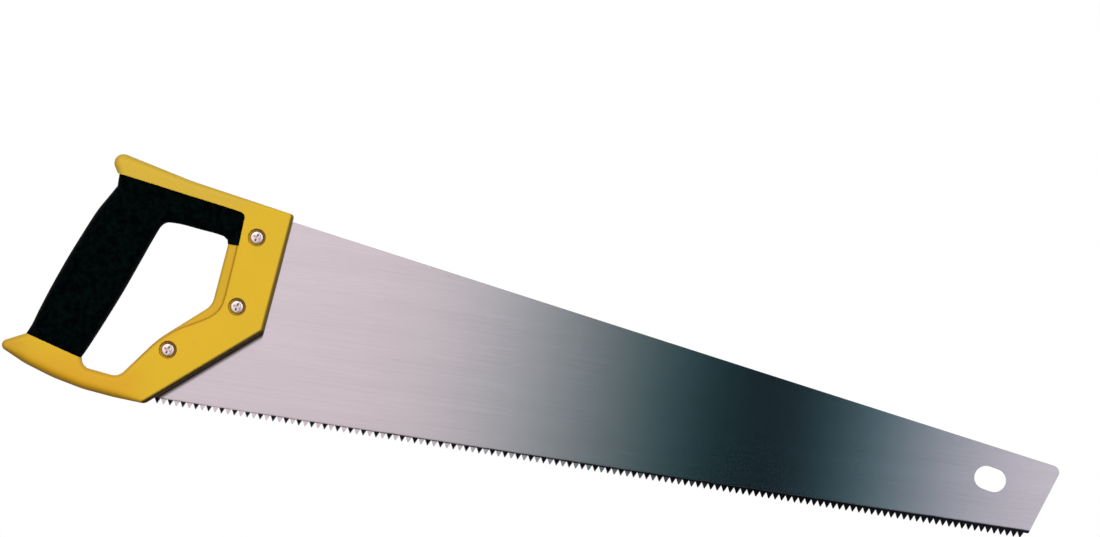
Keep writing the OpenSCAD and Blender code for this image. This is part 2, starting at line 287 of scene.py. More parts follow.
# ---------------------------------------------------------------- meshes
def build(name, verts, faces, sharp=35.0, at=None):
    """Object from points in mm. With at, the points are round that place and the object stands there."""
    mesh = bpy.data.meshes.new(name)
    points = np.array(verts, float)
    base = SHIFT if at is None else np.zeros(3)
    mesh.from_pydata([tuple(p) for p in (points + base) / 1000], [], [tuple(int(i) for i in f) for f in faces])
    bm = bmesh.new()
    bm.from_mesh(mesh)
    bmesh.ops.remove_doubles(bm, verts=bm.verts, dist=1e-7)
    bmesh.ops.dissolve_degenerate(bm, edges=bm.edges, dist=1e-7)
    bmesh.ops.recalc_face_normals(bm, faces=bm.faces)
    bm.to_mesh(mesh)
    bm.free()
    mesh.polygons.foreach_set("use_smooth", [True] * len(mesh.polygons))
    mesh.set_sharp_from_angle(angle=math.radians(sharp))
    obj = bpy.data.objects.new(name, mesh)
    bpy.context.scene.collection.objects.link(obj)
    if at is not None:
        obj.location = Vector((np.array([at[0], 0.0, at[1]]) + SHIFT) / 1000)
    return obj


def strip(faces, a, b):
    """Quads between two closed rows of point numbers."""
    n = len(a)
    for i in range(n):
        j = (i + 1) % n
        faces.append((a[i], a[j], b[j], b[i]))


def append(verts, points):
    """Adds points and returns their numbers."""
    start = len(verts)
    verts.extend(points)
    return list(range(start, len(verts)))


handle_outline = rounded(HANDLE)
loop_outline = rounded(LOOP)


def back_z(x):
    return HEEL_Z - (x - HEEL_X) * (HEEL_Z - TOE_Z) / (TOOTHED + TOE_LEAN - HEEL_X)


toe_arc = corner_arc((TOOTHED, ROOT), (TOOTHED + TOE_LEAN, TOE_Z), (HEEL_X, HEEL_Z), TOE_R, 0.5)

# The drawing is set down where the CAD model has it
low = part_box("handle")[0] * 1000
SHIFT = np.array([low.x - min(p[0] for p in handle_outline), 0.0,
                  low.z - min(p[1] for p in handle_outline)])


def edge_rings(line, radius, steps):
    """Plan points on rings inside an open line, spaced for a round edge, with one more just past it."""
    p, n = np.array([q[:2] for q in line], float), normals(line, False)
    r = np.array(radius, float)[:, None] if np.ndim(radius) else radius
    rings = [p + n * r * (1 - math.cos(math.pi / 2 * k / steps)) for k in range(1, steps + 1)]
    return np.concatenate(rings + [p + n * (r + 0.4)])


def clear(points, lines, gap):
    """Leaves out the points that come nearer than gap to any of the lines."""
    keep = np.ones(len(points), bool)
    for line in lines:
        keep &= nearest(points, [(*p[:2], 0) for p in line])[0] > gap
    return points[keep]


def thin_out(points, gap):
    """Leaves out points that lie on top of one another."""
    seen, keep = set(), []
    for i, p in enumerate(points):
        cell = (int(p[0] // gap), int(p[1] // gap))
        if all((cell[0] + a, cell[1] + b) not in seen for a in (-1, 0, 1) for b in (-1, 0, 1)):
            seen.add(cell)
            keep.append(i)
    return points[keep]


def make_handle():
    """Hard plastic body: two faces over one plan, a wall round them with the blade's slot, and three bores."""
    outer = between(handle_outline, *(cut(handle_outline, *line) for line in GRIP_ENDS_OUT))
    inner = between(loop_outline, *(cut(loop_outline, *line) for line in GRIP_ENDS_IN))
    seam = densify(SEAM_TOP + GRIP_FRONT[:1] + [inner[-1][:2]], 1.6, closed=False)
    top = [(x, z, SEAM_EDGE) for x, z in seam]
    bottom = [(x, z, SEAM_EDGE) for x, z in densify([inner[0][:2], outer[0][:2]], 1.6, closed=False)]
    plan = outer + top[:-1] + inner[::-1] + bottom[1:-1]
    families = [outer, inner, [outer[-1][:2] + (SEAM_EDGE,)] + top, bottom]

    # plan points that carry the shape: rings along every edge, lines along the band's step, a coarse grid
    gap, cell, cell_gap = 0.25, 3.5, 2.6
    holes = [circle(at, RECESS_R + RIM, BORE_SIDES) for at in FASTENERS.values()]
    rings = [edge_rings(outer, [p[2] for p in outer], 7),
             edge_rings(inner[::-1], [p[2] for p in inner[::-1]], 7),
             edge_rings(top, SEAM_EDGE, 2), edge_rings(bottom, SEAM_EDGE, 2)]
    fine = np.concatenate([clear(r, [f for f in families if f is not own], gap)
                           for r, own in zip(rings, (outer, inner, families[2], bottom))])
    band = densify(smooth_rows(BAND, 8), 1.2, closed=False)
    edge, wide = np.array([b[:2] for b in band]), np.array([b[2] for b in band])[:, None]
    steps = [edge + normals(band, False) * (wide + t) for t in (-1.1, -0.4, -0.2, 0, 0.2, 0.4, 1)]
    fine = np.concatenate([fine, clear(np.concatenate(steps), families, gap)])
    x0, x1 = min(p[0] for p in plan), max(p[0] for p in plan)
    z0, z1 = min(p[1] for p in plan), max(p[1] for p in plan)
    grid = np.array([(x, z) for x in np.arange(x0, x1, cell) for z in np.arange(z0, z1, cell)])
    grid = clear(grid, families, cell_gap)
    around = np.concatenate([np.array(circle(at, RECESS_R + g, BORE_SIDES))
                             for at in FASTENERS.values() for g in (0.7, 2.2)])
    extra = thin_out(np.concatenate([fine, around, grid]), 0.05)
    extra = extra[within(extra, plan)]
    for hole in holes:
        extra = extra[~within(extra, hole)]
    on_holes = np.array([p for hole in holes for p in hole])
    keep = np.linalg.norm(extra[:, None] - on_holes, axis=2).min(1) > 0.1
    flat, tris = triangulate([plan, *holes], extra[keep])

    fall = np.zeros(len(flat))
    for family in families:
        distance, radius = nearest(flat, family)
        fall = np.maximum(fall, drop(distance, radius))
    height = PLATE - fall - step_down(*nearest(flat, band)) * (fall < BAND_DEPTH * 4)
    n = len(flat)
    verts = [(x, -h, z) for (x, z), h in zip(flat, height)] + [(x, h, z) for (x, z), h in zip(flat, height)]
    faces = [tuple(t) for t in tris] + [tuple(t + n)[::-1] for t in tris]

    # the wall, open at mid thickness where the blade goes in
    m = len(plan)
    front, back = list(range(m)), list(range(n, n + m))
    lip_f = append(verts, [(x, -LIP, z) for x, z in flat[:m]])
    lip_b = append(verts, [(x, LIP, z) for x, z in flat[:m]])
    strip(faces, front, lip_f)
    strip(faces, lip_b, back)
    start, end = (cut(plan, *line)[0] for line in SLOT_ENDS)
    slot_depth = 3
    deep = flat[:m] + normals(plan) * slot_depth
    slot = list(range(start + 1, end + 1))
    deep_f = dict(zip(slot, append(verts, [(deep[i][0], -LIP, deep[i][1]) for i in slot])))
    deep_b = dict(zip(slot, append(verts, [(deep[i][0], LIP, deep[i][1]) for i in slot])))
    for i in range(m):
        j = (i + 1) % m
        if i in deep_f and j in deep_f:
            faces += [(lip_f[i], lip_f[j], deep_f[j], deep_f[i]),
                      (deep_f[i], deep_f[j], deep_b[j], deep_b[i]),
                      (deep_b[i], deep_b[j], lip_b[j], lip_b[i])]
        else:
            faces.append((lip_f[i], lip_f[j], lip_b[j], lip_b[i]))
    for i in (slot[0], slot[-1]):
        faces.append((lip_f[i], deep_f[i], deep_b[i], lip_b[i]))

    # bores, each from the screw side's face through to the nut side's, with a chamfer at the foot of each
    foot = 0.25
    profile = [(RECESS_R + 0.1, -PLATE + 0.08), (RECESS_R, -PLATE + RIM), (RECESS_R, -SCREW_SEAT - foot),
               (RECESS_R - foot, -SCREW_SEAT), (BORE_R, -SCREW_SEAT), (BORE_R, NUT_SEAT),
               (RECESS_R - foot, NUT_SEAT), (RECESS_R, NUT_SEAT + foot), (RECESS_R, PLATE - RIM),
               (RECESS_R + 0.1, PLATE - 0.08)]
    first = m
    for at in FASTENERS.values():
        row = list(range(first, first + BORE_SIDES))
        for r, y in profile:
            ring = append(verts, [(x, y, z) for x, z in circle(at, r, BORE_SIDES)])
            strip(faces, row, ring)
            row = ring
        strip(faces, row, list(range(first + n, first + n + BORE_SIDES)))
        first += BORE_SIDES
    body = build("handle_body", verts, faces)
    # painted shade on the faces by the stepped band: how much each point gets, most of it at the foot of the
    # band's step
    place = np.array([v.co for v in body.data.vertices]) * 1000 - SHIFT
    away, wide = nearest(place[:, [0, 2]], band)
    band_shade = np.maximum(np.exp(-((away - wide + 0.2) / 0.65) ** 2), 0.3 * (away < wide))
    painted_shade = body.data.attributes.new("painted_shade", "FLOAT", "POINT")
    painted_shade.data.foreach_set("value", band_shade * np.clip(wide, 0, 1) * (np.abs(place[:, 1]) > PLATE - 2.6))
    return body


def make_grip():
    """Soft grip: a skin on each side over sections that fan from the rear post into the top bar."""
    rows = smooth_rows(POST, 10)
    # rows close to the lower seam, so that its edge rolls over
    rows = [rows[0] + (rows[1] - rows[0]) * t for t in (0, 0.12, 0.4, 0.7)] + rows[1:]
    bridge = [rows[-1] + (np.array(BAR[0]) - rows[-1]) * t for t in (0.25, 0.5, 0.75)]
    bar = smooth_rows(BAR[:7], 7) + [np.array(s, float) for s in BAR[7:]]
    rows += bridge + bar
    seams = [[(*p, 0) for p in SEAM_TOP + GRIP_FRONT], [(*POST[0][:2], 0), (*POST[0][2:4], 0)]]
    edge_steps, flat_steps, seam_edge = 9, 8, 0.45
    turns = [math.pi / 2 * k / edge_steps for k in range(edge_steps + 1)]
    verts = []
    for s in rows:
        outer, inner, r_out, r_in, share = np.array(s[:2]), np.array(s[2:4]), s[4], s[5], s[6]
        span = np.linalg.norm(inner - outer)
        way = (inner - outer) / span
        r_out, r_in = min(r_out, span * 0.45), min(r_in, span * 0.45)
        free = span - r_out - r_in
        across = [r_out * (1 - math.cos(a)) for a in turns]
        across += [r_out + free * k / flat_steps for k in range(1, flat_steps)]
        across += [span - r_in * (1 - math.cos(a)) for a in turns[::-1]]
        across = np.array(across)
        base = PLATE + share * (SWELL - CROWN)
        h = base - drop(across, r_out) - drop(span - across, r_in)
        h = h + share * CROWN * np.clip(4 * (across / span) * (1 - across / span), 0, 1)
        plan = outer + across[:, None] * way
        for line in seams:
            fall = drop(nearest(plan, line)[0], seam_edge)
            h = np.minimum(h, base + CROWN - fall - (CROWN if share == 0 else 0))
        verts.append([(p[0], -v, p[1]) for p, v in zip(plan, h)])
    n, m = len(verts), len(verts[0])
    front = [p for row in verts for p in row]
    points = front + [(x, -y, z) for x, y, z in front]
    total = n * m
    faces = []
    for j in range(n - 1):
        for i in range(m - 1):
            a, b, c, d = j * m + i, (j + 1) * m + i, (j + 1) * m + i + 1, j * m + i + 1
            faces += [(a, b, c, d), (a + total, d + total, c + total, b + total)]
    rim = list(range(m)) + [j * m + m - 1 for j in range(1, n)]
    rim += [(n - 1) * m + i for i in range(m - 2, -1, -1)] + [j * m for j in range(n - 2, 0, -1)]
    strip(faces, rim, [i + total for i in rim])
    return build("grip_overmould", points, faces, sharp=50)


def make_blade():
    """Steel plate with chamfered edges and teeth that are set and bevelled to alternate sides."""
    count = math.floor((TOOTHED - FIRST) / PITCH)
    lean = math.atan2((PITCH - TIP_FLAT - ROOT_FLAT) / 2, ROOT - TIP)
    front, back, bend, body = [], [], [], []

    def point(f, b, out, on_body):
        front.append(f)
        back.append(b)
        bend.append(out)
        body.append(on_body)

    point(TANG_LOW, TANG_LOW, 0, True)
    for i in range(count):
        x, side = FIRST + i * PITCH, i % 2
        full = [(x + ROOT_FLAT / 2, ROOT), (x + (PITCH - TIP_FLAT) / 2, TIP),
                (x + (PITCH + TIP_FLAT) / 2, TIP), (x + PITCH - ROOT_FLAT / 2, ROOT)]
        in_x, up = TOOTH_BEVEL / math.cos(lean), TOOTH_BEVEL / math.sin(lean)
        cutback = [(full[0][0] + in_x, ROOT), (full[1][0], TIP + up),
                   (full[2][0], TIP + up), (full[3][0] - in_x, ROOT)]
        out = TOOTH_SET if side == 0 else -TOOTH_SET
        set_y = [0, out, out, 0]
        for k in range(4):
            point((cutback if side == 0 else full)[k], (full if side == 0 else cutback)[k], set_y[k], False)
    upper = [(TOOTHED, ROOT)] + toe_arc + [(x, back_z(x) if z == 0 else z) for x, z in TANG]
    for p in upper:
        point(p, p, 0, True)
    m = len(front)
    front, back = np.array(front, float), np.array(back, float)
    inward = normals([tuple(p) for p in front]) * (np.array(body, float) * CHAMFER)[:, None]
    inward[0] = inward[count * 4 + 1] = 0
    bend = np.array(bend)

    length, width, tilt = HANG[2], HANG[3], math.radians(HANG[4])
    half = (length - width) / 2

    def slot(grow):
        pts = []
        for end, a0 in ((1, -90), (-1, 90)):
            for k in range(HANG_STEPS + 1):
                a = math.radians(a0 + 180 * k / HANG_STEPS)
                u, v = end * half + (width / 2 + grow) * math.cos(a), (width / 2 + grow) * math.sin(a)
                pts.append((HANG[0] + u * math.cos(tilt) - v * math.sin(tilt),
                            HANG[1] + u * math.sin(tilt) + v * math.cos(tilt)))
        return pts

    # the slot has a chamfer and the tang's holes, which nothing shows, have none
    holes = [(slot(CHAMFER), slot(0))]
    holes += [(circle(at, TANG_HOLE_R, HOLE_SIDES), circle(at, TANG_HOLE_R, HOLE_SIDES))
              for at in FASTENERS.values()]
    loops = [[tuple(p) for p in front + inward]] + [wide for wide, _ in holes]
    loops_back = [[tuple(p) for p in back + inward]] + [wide for wide, _ in holes]
    roots = [(1 + 4 * i, 4 + 4 * i) for i in range(count)]
    verts, faces, skins = [], [], []
    for side, outline in ((-1, loops), (1, loops_back)):
        flat, tris = triangulate(outline, (), roots)
        start = len(verts)
        out = np.zeros(len(flat))
        out[:m] = bend
        verts += [(x, side * BLADE + o, z) for (x, z), o in zip(flat, out)]
        faces += [tuple(t + start) if side < 0 else tuple(t + start)[::-1] for t in tris]
        skins.append(start)

    share = CHAMFER / (2 * BLADE)
    near = front * (1 - share) + back * share
    far = front * share + back * (1 - share)
    ring_f = append(verts, [(x, -BLADE + CHAMFER + o, z) for (x, z), o in zip(near, bend)])
    ring_b = append(verts, [(x, BLADE - CHAMFER + o, z) for (x, z), o in zip(far, bend)])
    strip(faces, [skins[0] + i for i in range(m)], ring_f)
    strip(faces, ring_f, ring_b)
    strip(faces, ring_b, [skins[1] + i for i in range(m)])
    first = m
    for wide, narrow in holes:
        k = len(wide)
        a = append(verts, [(x, -BLADE + CHAMFER, z) for x, z in narrow])
        b = append(verts, [(x, BLADE - CHAMFER, z) for x, z in narrow])
        strip(faces, [skins[0] + first + i for i in range(k)], a)
        strip(faces, a, b)
        strip(faces, b, [skins[1] + first + i for i in range(k)])
        first += k
    blade = build("blade_plate", verts, faces, sharp=2.5)
    # u runs up the blade, so that highlights stretch across the brush lines
    uv = blade.data.uv_layers.new(name="brush")
    co = np.array([blade.data.vertices[l.vertex_index].co for l in blade.data.loops])
    uv.data.foreach_set("uv", np.stack([co[:, 2], -co[:, 0]], 1).ravel())
    return blade


def lathe(profile, n):
    """Points and faces of a profile of r, y turned about the y axis; its ends lie on the axis."""
    verts = [(0, profile[0][1], 0)]
    faces, previous = [], None
    for r, y in profile[1:-1]:
        start = len(verts)
        verts += [(x, y, z) for x, z in circle((0, 0), r, n)]
        ring = list(range(start, start + n))
        if previous is None:
            faces += [(0, ring[i], ring[(i + 1) % n]) for i in range(n)]
        else:
            strip(faces, previous, ring)
        previous = ring
    verts.append((0, profile[-1][1], 0))
    faces += [(len(verts) - 1, previous[(i + 1) % n], previous[i]) for i in range(n)]
    return verts, faces


def make_fastener(name, at, side, turn):
    """Domed head with a tapered cross recess, and its thread (side -1) or barrel (side 1) behind it."""
    seat = SCREW_SEAT if side < 0 else NUT_SEAT
    rim, crown_steps = HEAD_H * 0.5, 12
    head = [(0, -(seat + HEAD_H))]
    for k in range(1, crown_steps + 1):
        a = math.pi / 2 * (1 - k / crown_steps)
        head.append((HEAD_R * math.cos(a) ** 0.45, -(seat + rim + (HEAD_H - rim) * math.sin(a))))
    head += [(HEAD_R + 0.02, -(seat + rim * 0.5)), (HEAD_R - 0.08, -(seat + 0.08)), (HEAD_R - 0.3, -seat)]
    if side < 0:
        pitch, root, crest, plain = 0.7, 1.65, 2.0, 0.4
        shank = [(1.7, -seat)]
        turns = int((seat + 3.2) / pitch)
        for k in range(turns):
            y = -seat + plain + pitch * k
            shank += [(root, y), (crest, y + 0.35)]
        shank += [(root, -seat + plain + pitch * turns), (1.3, 4.0), (0, 4.0)]
    else:
        shank = [(2.7, -seat), (2.7, SCREW_SEAT - 1.4), (2.5, SCREW_SEAT - 1.05), (2.1, SCREW_SEAT - 1.05),
                 (2.05, -3.5), (0, -3.5)]
    verts, faces = lathe(head + shank, HEAD_SIDES)
    verts = [(x, -side * y, z) for x, y, z in verts]
    obj = build(name, verts, faces, at=at)

    # cross recess: a tapered cross of 12 corners at three levels, with a point at its foot
    def cross(reach, half, y):
        plan = [(half, half), (reach, half), (reach, -half), (half, -half), (half, -reach), (-half, -reach),
                (-half, -half), (-reach, -half), (-reach, half), (-half, half), (-half, reach), (half, reach)]
        c, s = math.cos(turn), math.sin(turn)
        return [(u * c - v * s, side * y, u * s + v * c) for u, v in plan]

    top = seat + HEAD_H
    levels = [cross(2.5, 0.62, top + 0.6), cross(2.15, 0.5, top - 0.25), cross(0.95, 0.34, top - 1.65)]
    points = [p for level in levels for p in level] + [(0, side * (top - 1.95), 0)]
    sides = [tuple(range(12))]
    strip(sides, list(range(12)), list(range(12, 24)))
    strip(sides, list(range(12, 24)), list(range(24, 36)))
    sides += [(24 + i, 24 + (i + 1) % 12, 36) for i in range(12)]
    cutter = build(name + "_recess", points, sides, at=at)
    boolean = obj.modifiers.new("recess", "BOOLEAN")
    boolean.operation, boolean.solver, boolean.object = "DIFFERENCE", "EXACT", cutter
    bevel = obj.modifiers.new("edge", "BEVEL")
    bevel.width, bevel.segments = 0.00006, 2
    bevel.limit_method, bevel.angle_limit = "ANGLE", math.radians(38)
    bpy.context.view_layer.update()
    cut_mesh = bpy.data.meshes.new_from_object(obj.evaluated_get(bpy.context.evaluated_depsgraph_get()))
    obj.modifiers.clear()
    obj.data = cut_mesh
    bpy.data.objects.remove(cutter)
    cut_mesh.polygons.foreach_set("use_smooth", [True] * len(cut_mesh.polygons))
    cut_mesh.set_sharp_from_angle(angle=math.radians(40))
    return obj


# ---------------------------------------------------------------- materials
def new_node(tree, kind, inputs=None, **settings):
    """Adds a node; an input is either another node's output to link or a value."""
    node = tree.nodes.new(kind)
    for key, value in settings.items():
        setattr(node, key, value)
    for key, value in (inputs or {}).items():
        if isinstance(value, bpy.types.NodeSocket):
            tree.links.new(value, node.inputs[key])
        else:
            node.inputs[key].default_value = value
    return node


class Nodes:
    """Small helper round a material's node tree."""

    def __init__(self, name):
        self.material = bpy.data.materials.new(name)
        self.material.use_nodes = True
        self.tree = self.material.node_tree
        self.shader = self.tree.nodes["Principled BSDF"]
        self.where = self.add("ShaderNodeTexCoord").outputs["Object"]

    def add(self, kind, inputs=None, **settings):
        return new_node(self.tree, kind, inputs, **settings)

    def link(self, output, socket):
        self.tree.links.new(output, self.shader.inputs[socket])

    def stretched(self, scale):
        return self.add("ShaderNodeMapping", {"Vector": self.where, "Scale": scale}).outputs["Vector"]

    def noise(self, scale, detail=4.0, roughness=0.55, vector=None, seed=(0, 0, 0)):
        if vector is None:
            vector = self.add("ShaderNodeMapping", {"Vector": self.where, "Location": seed}).outputs["Vector"]
        return self.add("ShaderNodeTexNoise", {"Vector": vector, "Scale": scale, "Detail": detail,
                                               "Roughness": roughness}).outputs["Fac"]

    def cells(self, scale):
        return self.add("ShaderNodeTexVoronoi", {"Vector": self.where, "Scale": scale}).outputs["Distance"]

    def span(self, value, a, b, c=0.0, d=1.0, smooth=True):
        """Brings a value from the range a..b to c..d, and holds it there."""
        inputs = {"Value": value, "From Min": a, "From Max": b, "To Min": c, "To Max": d}
        kind = "SMOOTHSTEP" if smooth else "LINEAR"
        return self.add("ShaderNodeMapRange", inputs, interpolation_type=kind).outputs["Result"]

    def math(self, operation, a, b=0.0):
        return self.add("ShaderNodeMath", {0: a, 1: b}, operation=operation).outputs[0]

    def mix(self, factor, a, b):
        """Mixes two colours; 6, 7 and output 2 are the mix node's colour sockets."""
        return self.add("ShaderNodeMix", {0: factor, 6: a, 7: b}, data_type="RGBA").outputs[2]

    def beyond(self, x, z, a, b):
        """How far a point lies to the right of the line from a to b, in metres."""
        length = math.hypot(b[0] - a[0], b[1] - a[1])
        nx, nz = (b[1] - a[1]) / length, (a[0] - b[0]) / length
        away = self.math("ADD", self.math("MULTIPLY", x, nx), self.math("MULTIPLY", z, nz))
        return self.math("SUBTRACT", away, part(x=a[0]) * nx + part(z=a[1]) * nz)

    def xyz(self):
        return self.add("ShaderNodeSeparateXYZ", {"Vector": self.where}).outputs

    def bump(self, *layers):
        """Chains bumps, each of height, strength and depth in metres."""
        normal = None
        for height, strength, depth in layers:
            inputs = {"Height": height, "Strength": strength, "Distance": depth}
            if normal is not None:
                inputs["Normal"] = normal
            normal = self.add("ShaderNodeBump", inputs).outputs["Normal"]
        self.link(normal, "Normal")

    def set(self, **values):
        for key, value in values.items():
            self.shader.inputs[key.replace("_", " ")].default_value = value
        return self


def part(x=None, z=None):
    """An x or a z in blade-plane mm, in the frame's metres."""
    return (x + SHIFT[0]) / 1000 if x is not None else (z + SHIFT[2]) / 1000


def plastic():
    m = Nodes("yellow_plastic")
    x, y, z = m.xyz()
    m.set(Metallic=0.0, Specular_IOR_Level=0.3, IOR=1.5)
    blotch = m.noise(28, 3, 0.5)
    base = m.mix(m.span(blotch, 0.35, 0.7), (0.660, 0.425, 0.011, 1), (0.700, 0.420, 0.010, 1))
    # painted shade: warmer along the low rail, deeper at the beak; painted light: a little paler along the top
    low_rail_shade = m.math("MULTIPLY", m.span(z, part(z=24), part(z=7)),
                      m.span(x, part(x=2), part(x=-25), 0.0, 0.9))
    base = m.mix(low_rail_shade, base, (0.665, 0.350, 0.010, 1))
    # painted shade, deeper towards the beak's tip
    base = m.mix(m.span(x, part(x=-68), part(x=-92), 0.0, 0.7), base, (0.50, 0.250, 0.014, 1))
    top_bar_light = m.math("MULTIPLY", m.span(z, part(z=106), part(z=116)),
                      m.span(x, part(x=48), part(x=22), 0.0, 0.8))
    base = m.mix(top_bar_light, base, (0.600, 0.400, 0.034, 1))
    # painted shadow in the three counterbores, most of it on the side towards the blade
    for cx, cz in FASTENERS.values():
        dx, dz = m.math("SUBTRACT", x, part(x=cx)), m.math("SUBTRACT", z, part(z=cz))
        away = m.math("SQRT", m.math("ADD", m.math("MULTIPLY", dx, dx), m.math("MULTIPLY", dz, dz)))
        counterbore_shadow = m.math("MULTIPLY", m.span(away, 0.0052, 0.0047),
                      m.span(m.math("ADD", dx, m.math("MULTIPLY", dz, 0.5)), -0.004, 0.004, 0.5, 0.95))
        base = m.mix(counterbore_shadow, base, (0.16, 0.075, 0.010, 1))
    # painted shade on the stepped band, most of it at the foot of its step
    band_shade = m.math("MULTIPLY", m.add("ShaderNodeAttribute", attribute_name="painted_shade").outputs["Fac"], 0.75)
    base = m.mix(band_shade, base, (0.36, 0.165, 0.010, 1))
    # painted shade, browner where a rounded edge turns down
    normal = m.add("ShaderNodeNewGeometry").outputs["Normal"]
    facing = m.add("ShaderNodeSeparateXYZ", {"Vector": normal}).outputs["Z"]
    base = m.mix(m.span(facing, -0.3, -0.85, 0.0, 0.5), base, (0.33, 0.16, 0.012, 1))
    # painted shade where the handle's two edges towards the blade roll over: the slanting one and the front
    rolled_edge_shade = m.math("MAXIMUM", m.span(m.beyond(x, z, HANDLE[5], HANDLE[6]), -0.0029, -0.0013, 0.0, 1.0),
                    m.span(m.beyond(x, z, HANDLE[6], HANDLE[7]), -0.0023, -0.001, 0.0, 0.84))
    rolled_edge_shade = m.math("MULTIPLY", rolled_edge_shade, m.span(m.math("ABSOLUTE", y), 0.0086, 0.0092))
    base = m.mix(rolled_edge_shade, base, (0.010, 0.006, 0.004, 1))
    speck = m.noise(1900, 2, 0.6)
    base = m.mix(m.span(speck, 0.3, 0.7, 0.0, 0.10), base, (0.55, 0.33, 0.008, 1))
    # handling dirt and scuffs, faint
    scuff = m.math("MULTIPLY", m.span(m.noise(160, 8, 0.7, seed=(3, 1, 2)), 0.56, 0.75), 0.16)
    base = m.mix(scuff, base, (0.50, 0.30, 0.03, 1))
    m.link(base, "Base Color")
    m.link(m.span(m.noise(420, 6, 0.65), 0.3, 0.75, 0.36, 0.50, smooth=False), "Roughness")
    # parting line of the mould round the edge, at mid thickness
    parting = m.span(m.math("ABSOLUTE", y), 0.0, 0.00016, 1.0, 0.0)
    m.bump((m.noise(3200, 3, 0.6), 0.35, 0.00004), (m.noise(60, 2, 0.5), 0.25, 0.0004),
           (parting, 0.5, 0.00012))
    return m.material


def rubber():
    m = Nodes("grip_rubber")
    m.set(Metallic=0.0, Specular_IOR_Level=0.03, IOR=1.2, Sheen_Weight=0.015, Sheen_Roughness=0.4)
    blotch = m.noise(330, 5, 0.62)
    base = m.mix(m.span(blotch, 0.38, 0.66), (0.0001, 0.0006, 0.0007, 1), (0.0010, 0.0032, 0.0034, 1))
    dust = m.math("MULTIPLY", m.span(m.noise(700, 6, 0.7, seed=(5, 0, 1)), 0.60, 0.80), 0.22)
    base = m.mix(dust, base, (0.010, 0.014, 0.015, 1))
    m.link(base, "Base Color")
    m.link(m.span(blotch, 0.3, 0.7, 0.62, 0.46, smooth=False), "Roughness")
    m.bump((m.span(m.cells(1500), 0.0, 0.6), 0.45, 0.00007), (m.noise(400, 4, 0.6), 0.4, 0.00018))
    return m.material


def steel():
    m = Nodes("brushed_steel")
    x, y, z = m.xyz()
    m.set(Metallic=1.0, Anisotropic=1.0)
    long_lines = m.noise(1.0, 4, 0.6, vector=m.stretched((14, 300, 2600)))
    short_lines = m.noise(1.0, 5, 0.7, vector=m.stretched((70, 300, 5200)))
    broad = m.noise(1.0, 3, 0.5, vector=m.stretched((9, 50, 90)))
    base = m.mix(long_lines, (0.56, 0.535, 0.55, 1), (0.70, 0.66, 0.68, 1))
    base = m.mix(m.span(short_lines, 0.50, 0.78, 0.0, 0.55), base, (0.50, 0.48, 0.50, 1))
    base = m.mix(m.span(broad, 0.35, 0.7, 0.0, 0.25), base, (0.72, 0.69, 0.71, 1))
    scratch = m.span(m.noise(1.0, 2, 0.5, vector=m.stretched((26, 40, 900))), 0.72, 0.80, 0.0, 0.45)
    base = m.mix(scratch, base, (0.85, 0.83, 0.84, 1))
    # hardened band along the teeth, wider towards the toe; near the handle every other tooth looks pale,
    # by the side that it is bevelled to
    wander = m.math("MULTIPLY", m.noise(90, 3, 0.6, seed=(2, 2, 0)), 0.0008)
    limit = m.span(x, part(x=60), part(x=480), part(z=0.9), part(z=2.5), smooth=False)
    above = m.math("SUBTRACT", m.math("ADD", z, wander), limit)
    turn = m.math("FRACT", m.math("MULTIPLY", m.math("SUBTRACT", x, part(x=FIRST)), 500 / PITCH))
    other = m.math("ABSOLUTE", m.math("SUBTRACT", m.math("LESS_THAN", turn, 0.5),
                                      m.math("LESS_THAN", y, 0.0)))
    pale = m.math("MULTIPLY", m.math("MULTIPLY", other, m.span(x, part(x=265), part(x=325), 0.92, 0.0)),
                  m.span(z, part(z=-0.1), part(z=0.5), 1.0, 0.0))
    hard = m.math("MULTIPLY", m.span(above, -0.0005, 0.0002, 1.0, 0.0), m.math("SUBTRACT", 1.0, pale))
    tint = m.math("MULTIPLY", m.span(above, -0.0004, 0.0010, 1.0, 0.0), m.math("SUBTRACT", 1.0, pale))
    base = m.mix(m.math("MULTIPLY", tint, 0.5), base, (0.36, 0.31, 0.29, 1))
    burnt = m.mix(m.noise(500, 3, 0.6), (0.008, 0.009, 0.012, 1), (0.026, 0.028, 0.034, 1))
    base = m.mix(hard, base, burnt)
    # painted shadow in the corner between the blade and the handle, widest under the slanting edge
    slant_shadow = m.span(m.beyond(x, z, HANDLE[5], HANDLE[6]), 0.0002, 0.0033, 1.0, 0.0)
    front = m.math("ADD", m.beyond(x, z, HANDLE[6], HANDLE[7]),
                   m.span(z, part(z=70), part(z=110), 0.0, 0.0003))
    corner = m.math("MULTIPLY", slant_shadow, m.span(front, 0.0001, 0.0006, 1.0, 0.0))
    base = m.mix(m.math("MULTIPLY", corner, 0.97), base, (0.012, 0.009, 0.007, 1))
    dark = m.math("MAXIMUM", hard, corner)
    m.link(base, "Base Color")
    rough = m.span(short_lines, 0.3, 0.75, 0.14, 0.18, smooth=False)
    m.link(m.math("ADD", rough, m.math("MULTIPLY", dark, 0.25)), "Roughness")
    tangent = m.add("ShaderNodeTangent", direction_type="UV_MAP", uv_map="brush")
    m.link(tangent.outputs["Tangent"], "Tangent")
    m.bump((long_lines, 0.18, 0.00003), (short_lines, 0.15, 0.00002))
    return m.material


